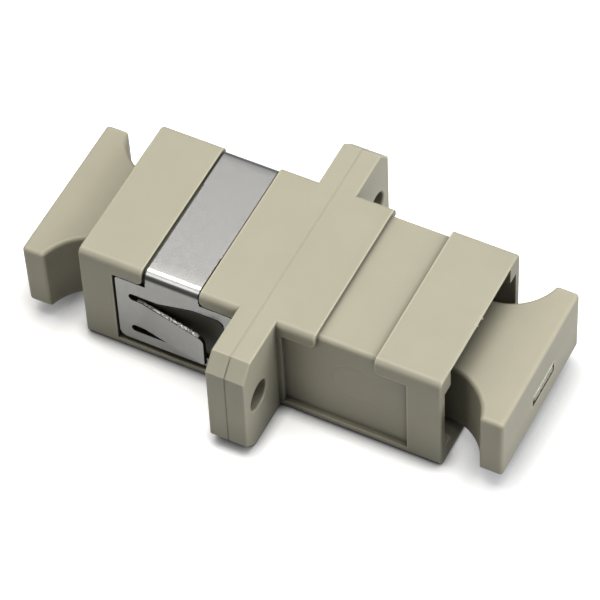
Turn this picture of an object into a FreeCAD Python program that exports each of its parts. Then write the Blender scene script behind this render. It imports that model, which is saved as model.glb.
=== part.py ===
import FreeCAD, Part
import math
import os

"""Simplex SC to SC fibre-optic adapter with a panel clip and two dust plugs.

Millimetres.  The X axis is the fibre axis, +Z is up and the origin is the
centre of the adapter: the middle of the flange, on the fibre axis.  Both
housing shells are the same moulding, one turned half a turn about Z, and so
are the two latch bodies and the two dust plugs, so each is drawn once on the
+X side.  The clip sits on the -X half.
"""

# ------------------------------------------------------ connector port -------
port_width = 9.1              # takes the 9.0 mm wide connector
port_height = 7.5             # takes the 7.4 mm high connector
slot_width = 10.5             # over both side slots, where the latches flex
slot_height = 5.5
lead_in_length = 1.3
port_lead_y = 0.23            # growth of the port at the mouth, per side
slot_lead_z = 0.15            # growth of the slots at the mouth, per side
mouth_lip = 0.15              # wall left above the port at the mouth
mouth_rim = 0.6               # wall left beside the slots at the mouth
key_notch_width = 2.6
key_notch_length = 5.2

# ---------------------------------------------------------------- housing ----
body_length = 27.4            # mouth to mouth along the fibre axis
wide_wall = 0.8               # above and below the port
side_wall = 0.65              # between a side slot and the clip's recess
body_edge_radius = 0.5        # long outer edges
mouth_edge_chamfer = 0.1      # outer rim of each mouth

ear_length = 4.8              # flange beyond each side of the body
flange_thickness = 2.9        # both shells together
flange_top_chamfer_y = 1.1
flange_top_chamfer_z = 1.2
flange_bottom_chamfer = 1.05
flange_edge_radius = 0.12
seam_chamfer = 0.06           # makes the fine line round the welded joint

screw_hole_diameter = 2.3     # clears an M2 screw
screw_hole_inset = 2.0        # centre of the hole to the end of the ear
screw_rim_chamfer = 0.1

# ------------------------------------------------ seat for the panel clip ----
groove_start = 4.35           # from the middle of the flange
groove_width = 4.45
groove_depth = 0.3
seat_edge_radius = 0.35
pillar_width = 0.35           # wall left standing beside the flange
mouth_block = 2.55            # wall left standing beside the mouth
recess_depth = 0.4
ledge_height = 0.75           # wall left below the recess
inner_lip_drop = 1.15         # block beside the flange, below the top
outer_lip_drop = 1.35         # block beside the mouth, below the top
lip_corner_radius = 0.45

# ----------------------------------------------------------- latch body ------
plate_thickness = 1.1
plate_overlap_y = 0.4         # plate held behind the slots, per side
plate_overlap_z = 0.2         # plate held behind the port, per side
plate_clearance = 0.05
arm_thickness = 0.75
arm_slot_gap = 0.45           # arm to the top and bottom of its slot
arm_reach = 9.9               # from the middle of the flange
arm_flex_gap = 0.5            # room for each arm to spring outwards
hook_gap = 6.84               # between the tips of the two hooks
hook_tip_length = 0.45
hook_ramp_length = 0.9
hook_lock_length = 0.25
barrel_diameter = 4.65
barrel_lip = 0.85             # end of the barrel that keeps the sleeve in
barrel_root_chamfer = 0.25
ferrule_entry_clearance = 0.2
ferrule_entry_chamfer = 0.3

# ------------------------------------------------------ alignment sleeve -----
sleeve_outer_diameter = 3.2
ferrule_diameter = 2.5        # bore of the sleeve
sleeve_length = 11.4
sleeve_slit_width = 0.4
sleeve_end_chamfer = 0.1
sleeve_side_clearance = 0.05
sleeve_end_clearance = 0.05

# ------------------------------------------------------------ panel clip -----
clip_thickness = 0.2
clip_bend_radius = 0.45       # inside of each bend
clip_side_clearance = 0.1     # side panels stand off the recess floor
band_gap_inner = 0.1          # band to the block beside the flange
band_gap_outer = 0.18         # band to the block beside the mouth
band_step = 0.05              # stamping step in each edge of the band
band_step_outer_y = -2.67
band_step_inner_y = 2.7
panel_end_gap = 0.15          # side panel to the ends of the recess
panel_lip_gap = 0.25          # side panel to the lips above it
panel_ledge_gap = 0.4         # side panel to the ledge below it
panel_corner_radius = 0.6
leg_width = 0.8               # strip of the side panel beside the flange
slit_width = 0.43
slit_setback = 1.1            # closed end of each slit to the panel's end
window_crest_height = 0.9     # upper strip beside the flange, below its top
window_crest_start = 2.0      # where the window reaches its full height
window_slope_length = 2.7
window_corner_radius = 0.4
tongue_top = 1.1              # above the fibre axis
tongue_height = 3.0
tongue_root_inset = 0.1       # bend to the closed ends of the slits
tongue_bend_radius = 2.5
tongue_bend_angle = 11.6      # degrees
tongue_corner_radius = 0.5
panel_grip = 2.15             # flange face to the tip of the tongue
coined_edge = 0.12            # rolled-in rim along the top of the window

# ------------------------------------------------------------- dust plug -----
plug_standoff = 2.83          # mouth to the cap
cap_thickness = 1.7
cap_width = 12.54
neck_width = 6.5
tab_port_gap = 0.95           # tab to the port, above and below
tab_drop = 0.25               # middle of the tab below the tube's axis
tab_insertion = 2.7           # mouth to the inner end of the tab
scoop_radius = 3.9            # finger scoop on each side of the neck
plug_edge_radius = 0.3
tube_hook_gap = 0.32          # tube to the hooks on each side of it
tube_end_wall = 0.7           # solid between the tube's bore and the tab
tube_clearance = 0.1          # radial, over the barrel
tube_seat_gap = 0.05          # end of the tube to the latch plate
tube_lead_in = 0.4
gate_pocket_length = 3.5
gate_pocket_height = 1.0
gate_pocket_depth = 0.3
gate_pocket_radius = 0.12
gate_pocket_y = 0.35
gate_pocket_z = -0.65
left_plug_sag = 1.1           # degrees the left plug droops on its barrel
left_plug_slack = 0.06        # how far the left plug is from fully home

# ------------------------------------------------------- derived places ------
body_width = slot_width + 2 * (side_wall + recess_depth)
body_height = port_height + 2 * wide_wall
flange_width = body_width + 2 * ear_length
half_length = body_length / 2
half_width = body_width / 2
half_height = body_height / 2
half_flange = flange_width / 2
flange_face = flange_thickness / 2
screw_hole_y = half_flange - screw_hole_inset
flare_start = half_length - lead_in_length
groove_end = groove_start + groove_width
groove_floor = half_height - groove_depth
recess_start = flange_face + pillar_width
recess_end = half_length - mouth_block
recess_floor = half_width - recess_depth
ledge_top = ledge_height - half_height
inner_lip = half_height - inner_lip_drop
outer_lip = half_height - outer_lip_drop
plate_width = slot_width + 2 * plate_overlap_y
plate_height = port_height + 2 * plate_overlap_z
arm_outer = slot_width / 2 - arm_flex_gap
arm_height = slot_height - 2 * arm_slot_gap
sleeve_bore_diameter = sleeve_outer_diameter + 2 * sleeve_side_clearance
sleeve_bore_reach = sleeve_length / 2 + sleeve_end_clearance
barrel_reach = sleeve_bore_reach + barrel_lip
ferrule_entry_diameter = ferrule_diameter + 2 * ferrule_entry_clearance
panel_start = recess_start + panel_end_gap
panel_end = recess_end - panel_end_gap
panel_inner_y = recess_floor + clip_side_clearance
panel_outer_y = panel_inner_y + clip_thickness
panel_bottom = ledge_top + panel_ledge_gap
band_start = groove_start + band_gap_inner
band_end = groove_end - band_gap_outer
inner_shoulder = inner_lip - panel_lip_gap
outer_shoulder = outer_lip - panel_lip_gap
window_crest = inner_shoulder - window_crest_height
window_base = tongue_top + slit_width
tongue_bottom = tongue_top - tongue_height
slit_end = panel_end - slit_setback
tube_bore_diameter = barrel_diameter + 2 * tube_clearance
tube_diameter = hook_gap - 2 * tube_hook_gap
tube_start = plate_thickness + tube_seat_gap
tab_start = half_length - tab_insertion
tab_thickness = port_height - 2 * tab_port_gap
cap_inner = half_length + plug_standoff
cap_outer = cap_inner + cap_thickness
clear = 1.0                   # how far a cutting tool runs past a surface


def vector(x, y, z):
    return FreeCAD.Vector(x, y, z)


def in_yz(x):
    """Maps a flat outline to the plane square to the fibre axis at x."""
    return lambda u, v: vector(x, u, v)


def in_xz(y):
    """Maps a flat outline to the upright plane along the fibre axis at y."""
    return lambda u, v: vector(u, y, v)


def in_xy(z):
    """Maps a flat outline to the level plane at height z."""
    return lambda u, v: vector(u, v, z)


def corner_cut(before, corner, after, radius):
    """Start, middle and end of the arc that rounds one corner."""
    ax = before[0] - corner[0]
    ay = before[1] - corner[1]
    bx = after[0] - corner[0]
    by = after[1] - corner[1]
    a = math.hypot(ax, ay)
    b = math.hypot(bx, by)
    ax, ay, bx, by = ax / a, ay / a, bx / b, by / b
    half = math.acos(max(-1.0, min(1.0, ax * bx + ay * by))) / 2
    reach = radius / math.tan(half)
    mx, my = ax + bx, ay + by
    m = math.hypot(mx, my)
    depth = radius / math.sin(half) - radius
    start = (corner[0] + ax * reach, corner[1] + ay * reach)
    middle = (corner[0] + mx / m * depth, corner[1] + my / m * depth)
    end = (corner[0] + bx * reach, corner[1] + by * reach)
    return start, middle, end


def outline(corners, place):
    """Closed face from (u, v) or (u, v, corner radius) corners."""
    spans = []
    for i, corner in enumerate(corners):
        radius = corner[2] if len(corner) > 2 else 0
        if radius > 0:
            before = corners[i - 1]
            after = corners[(i + 1) % len(corners)]
            spans.append(corner_cut(before, corner, after, radius))
        else:
            spans.append((corner[:2],))
    edges = []
    for i, span in enumerate(spans):
        if len(span) == 3:
            edges.append(Part.Arc(*[place(*p) for p in span]).toShape())
        start = place(*span[-1])
        end = place(*spans[(i + 1) % len(spans)][0])
        if start.distanceToPoint(end) > 1e-6:
            edges.append(Part.makeLine(start, end))
    return Part.Face(Part.Wire(edges))


def rectangle(width, height, radius=0):
    """Corners of a centred rectangle with rounded corners."""
    u = width / 2
    v = height / 2
    return [(u, -v, radius), (u, v, radius), (-u, v, radius), (-u, -v, radius)]


def along_x(corners, x0, x1):
    return outline(corners, in_yz(x0)).extrude(vector(x1 - x0, 0, 0))


def along_y(corners, y0, y1):
    return outline(corners, in_xz(y0)).extrude(vector(0, y1 - y0, 0))


def along_z(corners, z0, z1):
    return outline(corners, in_xy(z0)).extrude(vector(0, 0, z1 - z0))


def block(x0, x1, y0, y1, z0, z1):
    return Part.makeBox(x1 - x0, y1 - y0, z1 - z0, vector(x0, y0, z0))


def rod(diameter, x0, x1, y=0.0, z=0.0):
    start = vector(x0, y, z)
    return Part.makeCylinder(diameter / 2, x1 - x0, start, vector(1, 0, 0))


def cone(d0, d1, x0, x1, y=0.0, z=0.0):
    start = vector(x0, y, z)
    return Part.makeCone(d0 / 2, d1 / 2, x1 - x0, start, vector(1, 0, 0))


def edges_where(shape, test):
    """Edges whose every vertex and middle pass the test."""
    found = []
    for edge in shape.Edges:
        first, last = edge.ParameterRange
        points = [v.Point for v in edge.Vertexes]
        points.append(edge.valueAt((first + last) / 2))
        if all(test(p) for p in points):
            found.append(edge)
    return found


def near(a, b):
    return abs(a - b) < 1e-4


def turned(shape):
    """The same moulding on the other side: half a turn about Z."""
    copy = shape.copy()
    copy.rotate(vector(0, 0, 0), vector(0, 0, 1), 180)
    return copy


def mirrored_y(shape):
    return shape.mirror(vector(0, 0, 0), vector(0, 1, 0))


# ------------------------------------------------------------------ housing --
def flange_half():
    """One shell's share of the flange, chamfered at its four corners."""
    top_y = half_flange - flange_top_chamfer_y
    top_z = half_height - flange_top_chamfer_z
    low_y = half_flange - flange_bottom_chamfer
    low_z = flange_bottom_chamfer - half_height
    right = [(low_y, -half_height), (half_flange, low_z),
             (half_flange, top_z), (top_y, half_height)]
    left = [(-u, v) for u, v in reversed(right)]
    half = along_x(right + left, 0, flange_face)
    rim = edges_where(half, lambda p: near(p.x, flange_face))
    half = half.makeFillet(flange_edge_radius, rim)
    seam = edges_where(half, lambda p: near(p.x, 0))
    return half.makeChamfer(seam_chamfer, seam)


def body_half():
    """Outer block of one shell, soft along its edges and round its mouth."""
    section = rectangle(body_width, body_height, body_edge_radius)
    half = along_x(section, flange_face / 2, half_length)
    rim = edges_where(half, lambda p: near(p.x, half_length))
    return half.makeChamfer(mouth_edge_chamfer, rim)


def screw_hole(y):
    """Hole through this half of the flange, eased at its outer rim."""
    rim = screw_hole_diameter + 2 * screw_rim_chamfer
    hole = rod(screw_hole_diameter, -clear, flange_face + clear, y)
    start = flange_face - screw_rim_chamfer
    return hole.fuse(cone(screw_hole_diameter, rim, start, flange_face, y))


def clip_groove():
    """Strip taken off the top and both sides, where the clip's band lies."""
    wide = half_width + clear
    high = half_height + clear
    outer = [(wide, ledge_top), (wide, high), (-wide, high), (-wide, ledge_top)]
    low = ledge_top - clear
    inner = [(recess_floor, low), (recess_floor, groove_floor, seat_edge_radius),
             (-recess_floor, groove_floor, seat_edge_radius),
             (-recess_floor, low)]
    tool = along_x(outer, groove_start, groove_end)
    return tool.cut(along_x(inner, groove_start - clear, groove_end + clear))


def side_recess():
    """Shallow bay in one side wall, undercut below the blocks' lips."""
    top = half_height + clear
    bay = [(recess_start, ledge_top),
           (recess_end, ledge_top),
           (recess_end, outer_lip),
           (groove_end, outer_lip, lip_corner_radius),
           (groove_end, top),
           (groove_start, top),
           (groove_start, inner_lip, lip_corner_radius),
           (recess_start, inner_lip)]
    return along_y(bay, recess_floor, half_width + clear)


def port_section(port_y, port_z, slot_y, slot_z):
    """Plus-shaped outline: the connector's bore and the two latch slots."""
    right = [(port_y, -port_z), (port_y, -slot_z), (slot_y, -slot_z),
             (slot_y, slot_z), (port_y, slot_z), (port_y, port_z)]
    return right + [(-u, -v) for u, v in right]


def port_cavity():
    """Connector port: straight bore, flared lead-in and latch-plate pocket."""
    inner = port_section(port_width / 2, port_height / 2,
                         slot_width / 2, slot_height / 2)
    mouth = port_section(port_width / 2 + port_lead_y,
                         half_height - mouth_lip,
                         half_width - mouth_rim,
                         slot_height / 2 + slot_lead_z)
    pocket_depth = plate_thickness + plate_clearance
    bore = along_x(inner, pocket_depth / 2, flare_start)
    wires = [outline(inner, in_yz(flare_start)).OuterWire,
             outline(mouth, in_yz(half_length)).OuterWire]
    lead_in = Part.makeLoft(wires, True, True)
    beyond = along_x(mouth, half_length, half_length + clear)
    pocket = along_x(rectangle(plate_width + 2 * plate_clearance,
                               plate_height + 2 * plate_clearance),
                     -clear, pocket_depth)
    return bore.fuse([lead_in, beyond, pocket])


def key_notch():
    """Slot through the underside that takes the connector's key."""
    start = half_length - key_notch_length
    y = key_notch_width / 2
    return block(start, half_length + clear, -y, y, -half_height - clear, 0)


def housing_shell():
    shell = flange_half().fuse(body_half()).removeSplitter()
    tools = [clip_groove(), side_recess(), mirrored_y(side_recess()),
             port_cavity(), key_notch(),
             screw_hole(screw_hole_y), screw_hole(-screw_hole_y)]
    for tool in tools:
        shell = shell.cut(tool)
    return shell.removeSplitter()


# --------------------------------------------------------------- latch body --
def latch_arm():
    """Sprung arm on the +Y side, with a hook that faces the fibre axis."""
    inner = arm_outer - arm_thickness
    tip = hook_gap / 2
    ramp_start = arm_reach - hook_ramp_length
    tip_start = ramp_start - hook_tip_length
    lock_start = tip_start - hook_lock_length
    profile = [(plate_thickness / 2, arm_outer),
               (plate_thickness / 2, inner),
               (lock_start, inner),
               (tip_start, tip),
               (ramp_start, tip),
               (arm_reach, (inner + arm_outer) / 2),
               (arm_reach, arm_outer)]
    return along_z(profile, -arm_height / 2, arm_height / 2)


def sleeve_barrel():
    """Round holder that keeps the alignment sleeve on the fibre axis."""
    barrel = rod(barrel_diameter, plate_thickness / 2, barrel_reach)
    root = barrel_root_chamfer
    foot = cone(barrel_diameter + 2 * root, barrel_diameter,
                plate_thickness, plate_thickness + root)
    return barrel.fuse(foot)


def sleeve_passage():
    """Bore for the sleeve, and the narrower way in for the ferrule."""
    flare = ferrule_entry_diameter + 2 * ferrule_entry_chamfer
    start = barrel_reach - ferrule_entry_chamfer
    bore = rod(sleeve_bore_diameter, -clear, sleeve_bore_reach)
    entry = rod(ferrule_entry_diameter, 0, barrel_reach + clear)
    funnel = cone(ferrule_entry_diameter, flare, start, barrel_reach)
    return bore.fuse([entry, funnel])


def latch_body():
    plate = along_x(rectangle(plate_width, plate_height), 0, plate_thickness)
    solid = plate.fuse([sleeve_barrel(), latch_arm(),
                        mirrored_y(latch_arm())])
    return solid.cut(sleeve_passage()).removeSplitter()


# --------------------------------------------------------- alignment sleeve --
def alignment_sleeve():
    """Thin ceramic tube, slit along its top, that squeezes the ferrules."""
    half = sleeve_length / 2
    tube = rod(sleeve_outer_diameter, -half, half)
    ends = edges_where(tube, lambda p: near(abs(p.x), half))
    tube = tube.makeChamfer(sleeve_end_chamfer, ends)
    tube = tube.cut(rod(ferrule_diameter, -half - clear, half + clear))
    y = sleeve_slit_width / 2
    slit = block(-half - clear, half + clear, -y, y, 0, sleeve_outer_diameter)
    return tube.cut(slit)


# --------------------------------------------------------------- panel clip --
def clip_sheet():
    """Sheet folded over the top and down both sides, before it is cut out."""
    outer_r = clip_bend_radius + clip_thickness
    top = groove_floor + clip_thickness
    outer = [(panel_outer_y, panel_bottom), (panel_outer_y, top, outer_r),
             (-panel_outer_y, top, outer_r), (-panel_outer_y, panel_bottom)]
    low = panel_bottom - clear
    inner = [(panel_inner_y, low),
             (panel_inner_y, groove_floor, clip_bend_radius),
             (-panel_inner_y, groove_floor, clip_bend_radius),
             (-panel_inner_y, low)]
    sheet = along_x(outer, panel_start, panel_end)
    return sheet.cut(along_x(inner, panel_start - clear, panel_end + clear))


def clip_silhouette():
    """What is left of the folded sheet when seen from the side."""
    high = half_height + clear
    small = clip_thickness
    shape = [(panel_start, panel_bottom, small),
             (panel_end, panel_bottom, panel_corner_radius),
             (panel_end, outer_shoulder, small),
             (band_end, outer_shoulder),
             (band_end, high),
             (band_start, high),
             (band_start, inner_shoulder),
             (panel_start, inner_shoulder, small)]
    reach = half_width + clear
    return along_y(shape, -reach, reach)


def band_steps():
    """Small stamping steps in the two long edges of the band."""
    low = max(inner_lip, outer_lip)
    high = half_height + clear
    reach = half_width + clear
    inner = block(band_start - clear, band_start + band_step,
                  band_step_inner_y, reach, low, high)
    outer = block(band_end - band_step, band_end + clear,
                  band_step_outer_y, reach, low, high)
    return inner.fuse(outer)


def clip_window():
    """Opening in a side panel: two slits joined by the gap at the tongue."""
    r = slit_width * 0.499
    front = panel_start + leg_width
    slit_bottom = tongue_bottom - slit_width
    slope = groove_start + window_crest_start - window_slope_length / 2
    shape = [(front, slit_bottom, window_corner_radius),
             (slit_end, slit_bottom, r),
             (slit_end, tongue_bottom, r),
             (slit_end - slit_width, tongue_bottom),
             (slit_end - slit_width, tongue_top),
             (slit_end, tongue_top, r),
             (slit_end, window_base, r),
             (slope + window_slope_length, window_base),
             (slope, window_crest),
             (front, window_crest, window_corner_radius)]
    reach = half_width + clear
    return along_y(shape, -reach, reach)


def tongue_bend(radius, angle):
    """Point on the tongue's bend, at a radius and an angle from its root."""
    start = slit_end - slit_width - tongue_root_inset
    centre_y = panel_outer_y + tongue_bend_radius
    return vector(start - radius * math.sin(angle),
                  centre_y - radius * math.cos(angle), tongue_bottom)


def clip_tongue():
    """Spring tongue of the +Y side panel, bent out towards its free end."""
    root = slit_end - slit_width
    tip = flange_face + panel_grip
    angle = math.radians(tongue_bend_angle)
    outer_r = tongue_bend_radius
    inner_r = tongue_bend_radius + clip_thickness
    root_outer = vector(root, panel_outer_y, tongue_bottom)
    root_inner = vector(root, panel_inner_y, tongue_bottom)

    def at_tip(radius):
        start = tongue_bend(radius, angle)
        rise = (start.x - tip) * math.tan(angle)
        return vector(tip, start.y + rise, tongue_bottom)

    def bend_arc(radius, first, last):
        points = [tongue_bend(radius, a)
                  for a in (first, angle / 2, last)]
        return Part.Arc(*points).toShape()

    edges = [
        Part.makeLine(root_inner, root_outer),
        Part.makeLine(root_outer, tongue_bend(outer_r, 0)),
        bend_arc(outer_r, 0, angle),
        Part.makeLine(tongue_bend(outer_r, angle), at_tip(outer_r)),
        Part.makeLine(at_tip(outer_r), at_tip(inner_r)),
        Part.makeLine(at_tip(inner_r), tongue_bend(inner_r, angle)),
        bend_arc(inner_r, angle, 0),
        Part.makeLine(tongue_bend(inner_r, 0), root_inner),
    ]
    strip = Part.Face(Part.Wire(edges)).extrude(vector(0, 0, tongue_height))
    side_view = [(tip, tongue_bottom, tongue_corner_radius),
                 (root + clear, tongue_bottom),
                 (root + clear, tongue_top),
                 (tip, tongue_top, tongue_corner_radius)]
    return strip.common(along_y(side_view, 0, half_flange))


def on_window_crest(point):
    """True on the outer rim of the window, above the tongue's slit."""
    return (near(abs(point.y), panel_outer_y)
            and window_base - 1e-4 < point.z < window_crest + 1e-4
            and point.x < slit_end - slit_width)


def panel_clip():
    """Whole clip, drawn on the +X half and turned onto the -X half."""
    clip = clip_sheet().common(clip_silhouette())
    clip = clip.cut(band_steps()).cut(clip_window())
    clip = clip.fuse([clip_tongue(), mirrored_y(clip_tongue())])
    clip = clip.removeSplitter()
    rim = edges_where(clip, on_window_crest)
    return turned(clip.makeChamfer(coined_edge, rim))


# ---------------------------------------------------------------- dust plug --
def is_parting_arc(edge, low):
    """True for a scoop's lower edge, left sharp where the mould parts."""
    return isinstance(edge.Curve, Part.Circle) and near(edge.Curve.Center.z, low)


def plug_tab():
    """Flat grip: neck, a finger scoop each side and the wide end cap."""
    neck = neck_width / 2
    cap = cap_width / 2
    low = -tab_thickness / 2 - tab_drop
    rise = neck + scoop_radius - cap
    run = math.sqrt(scoop_radius ** 2 - rise ** 2)
    half_turn = math.atan2(run, rise) / 2
    scoop_start = cap_inner - run
    scoop_middle = (scoop_start + scoop_radius * math.sin(half_turn),
                    neck + scoop_radius * (1 - math.cos(half_turn)))

    def scoop(side):
        points = [(scoop_start, neck), scoop_middle, (cap_inner, cap)]
        return Part.Arc(*[vector(x, side * y, low)
                          for x, y in points]).toShape()

    def run_through(*points):
        corners = [vector(x, y, low) for x, y in points]
        return [Part.makeLine(a, b) for a, b in zip(corners, corners[1:])]

    edges = run_through((scoop_start, -neck), (tab_start, -neck),
                        (tab_start, neck), (scoop_start, neck))
    edges.append(scoop(1))
    edges += run_through((cap_inner, cap), (cap_outer, cap),
                         (cap_outer, -cap), (cap_inner, -cap))
    edges.append(scoop(-1))
    face = Part.Face(Part.Wire(Part.__sortEdges__(edges)))
    tab = face.extrude(vector(0, 0, tab_thickness))
    soft = [edge for edge in edges_where(tab, lambda p: p.x > scoop_start - 1e-4)
            if not is_parting_arc(edge, low)]
    return tab.makeFillet(plug_edge_radius, soft)


def tube_bore():
    """Blind bore that slips over the latch body's barrel."""
    hole = rod(tube_bore_diameter, tube_start - clear,
               tab_start - tube_end_wall)
    lead = cone(tube_bore_diameter + 2 * tube_lead_in, tube_bore_diameter,
                tube_start, tube_start + tube_lead_in)
    return hole.fuse(lead)


def gate_pocket():
    """Shallow sunk rectangle in the cap's outer face."""
    shape = rectangle(gate_pocket_length, gate_pocket_height,
                      gate_pocket_radius)
    placed = [(gate_pocket_y + u, gate_pocket_z + v, r) for u, v, r in shape]
    return along_x(placed, cap_outer - gate_pocket_depth, cap_outer + clear)


def dust_plug():
    tube = rod(tube_diameter, tube_start, tab_start + plug_edge_radius)
    plug = plug_tab().fuse(tube).removeSplitter()
    return plug.cut(tube_bore()).cut(gate_pocket())


def drooping(plug):
    """The plug not quite home, and turned down about its hold's middle."""
    loose = plug.copy()
    loose.translate(vector(left_plug_slack, 0, 0))
    middle = (tube_start + barrel_reach) / 2
    loose.rotate(vector(middle, 0, 0), vector(0, 1, 0), left_plug_sag)
    return loose


def main():
    os.makedirs("parts", exist_ok=True)
    shell = housing_shell()
    latch = latch_body()
    plug = dust_plug()
    nodes = {
        "housing_right": shell,
        "housing_left": turned(shell),
        "latch_body_right": latch,
        "latch_body_left": turned(latch),
        "alignment_sleeve": alignment_sleeve(),
        "panel_clip": panel_clip(),
        "dust_plug_right": plug,
        "dust_plug_left": turned(drooping(plug)),
    }
    for name, shape in nodes.items():
        print(name, len(shape.Solids), "solid", round(shape.Volume, 3), "mm3")
        shape.Solids[0].exportStep(os.path.join("parts", name + ".step"))


main()
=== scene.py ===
"""Looks of a simplex fibre adapter with its panel clip and two dust plugs.

Metres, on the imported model's own frame: X is the fibre axis, +Z is up, the
origin is the middle of the flange.  Sizes in the classes of the adapter's
pieces and in their finishes are in millimetres.  The CAD nodes keep their
shapes and get moulded, stamped and ground finishes.  What the solids leave
out is made here: the torn rim of each spring tongue, the rolled rim over each
window, the flash in the weld and at the mouths, the ejector pins' marks and
the broken gate in each dust plug.
"""

import logging
import math
from dataclasses import dataclass, replace
from enum import Enum

import bpy
import numpy as np
from mathutils import Matrix, Vector


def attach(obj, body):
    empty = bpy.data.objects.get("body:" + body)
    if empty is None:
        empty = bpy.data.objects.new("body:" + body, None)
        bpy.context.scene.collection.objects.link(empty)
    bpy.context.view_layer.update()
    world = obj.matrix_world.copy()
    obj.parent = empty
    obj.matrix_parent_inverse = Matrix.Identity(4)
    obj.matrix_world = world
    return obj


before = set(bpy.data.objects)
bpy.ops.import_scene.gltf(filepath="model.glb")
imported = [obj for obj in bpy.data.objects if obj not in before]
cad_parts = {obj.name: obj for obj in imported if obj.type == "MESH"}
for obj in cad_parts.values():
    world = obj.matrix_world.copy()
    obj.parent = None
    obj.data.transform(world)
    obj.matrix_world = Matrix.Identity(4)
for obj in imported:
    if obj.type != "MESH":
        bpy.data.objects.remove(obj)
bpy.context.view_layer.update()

MM = 0.001
WHITE = (1.0, 1.0, 1.0, 1.0)
BLACK = (0.0, 0.0, 0.0, 1.0)
log = logging.getLogger("adapter")


# ------------------------------------------------------------ shader maths --
@dataclass(frozen=True)
class Term:
    """A number that varies over a surface, with the usual arithmetic."""

    graph: "Graph"
    socket: bpy.types.NodeSocket

    def _maths(self, operation: str, *values: "Term | float") -> "Term":
        """Adds one Math node.

        Args:
            operation: The Math node's operation.
            *values: Terms or numbers, in the order of its inputs.

        Returns:
            The node's result.
        """
        return self.graph.add("ShaderNodeMath", {"operation": operation},
                              dict(enumerate(values)))

    def __add__(self, other: "Term | float") -> "Term":
        """The sum."""
        return self._maths("ADD", self, other)

    def __radd__(self, other: float) -> "Term":
        """The sum, with a number first."""
        return self._maths("ADD", other, self)

    def __sub__(self, other: "Term | float") -> "Term":
        """The difference."""
        return self._maths("SUBTRACT", self, other)

    def __rsub__(self, other: float) -> "Term":
        """The difference, with a number first."""
        return self._maths("SUBTRACT", other, self)

    def __mul__(self, other: "Term | float") -> "Term":
        """The product."""
        return self._maths("MULTIPLY", self, other)

    def __rmul__(self, other: float) -> "Term":
        """The product, with a number first."""
        return self._maths("MULTIPLY", other, self)

    def size(self) -> "Term":
        """The term without its sign."""
        return self._maths("ABSOLUTE", self)

    def raised(self) -> "Term":
        """The term held above 0."""
        return self._maths("MAXIMUM", self, 0.0)

    def clamped(self) -> "Term":
        """The term held between 0 and 1."""
        return self._maths("MINIMUM", self.raised(), 1.0)

    def above(self, level: float, gain: float) -> "Term":
        """Share that rises where the term passes a level.

        Args:
            level: The level.
            gain: How steeply the share rises.

        Returns:
            0 up to the level, then rising to 1.
        """
        return ((self - level) * gain).clamped()

    def below(self, level: float, gain: float) -> "Term":
        """Share that rises where the term falls short of a level.

        Args:
            level: The level.
            gain: How steeply the share rises.

        Returns:
            0 down to the level, then rising to 1.
        """
        return ((level - self) * gain).clamped()


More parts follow.
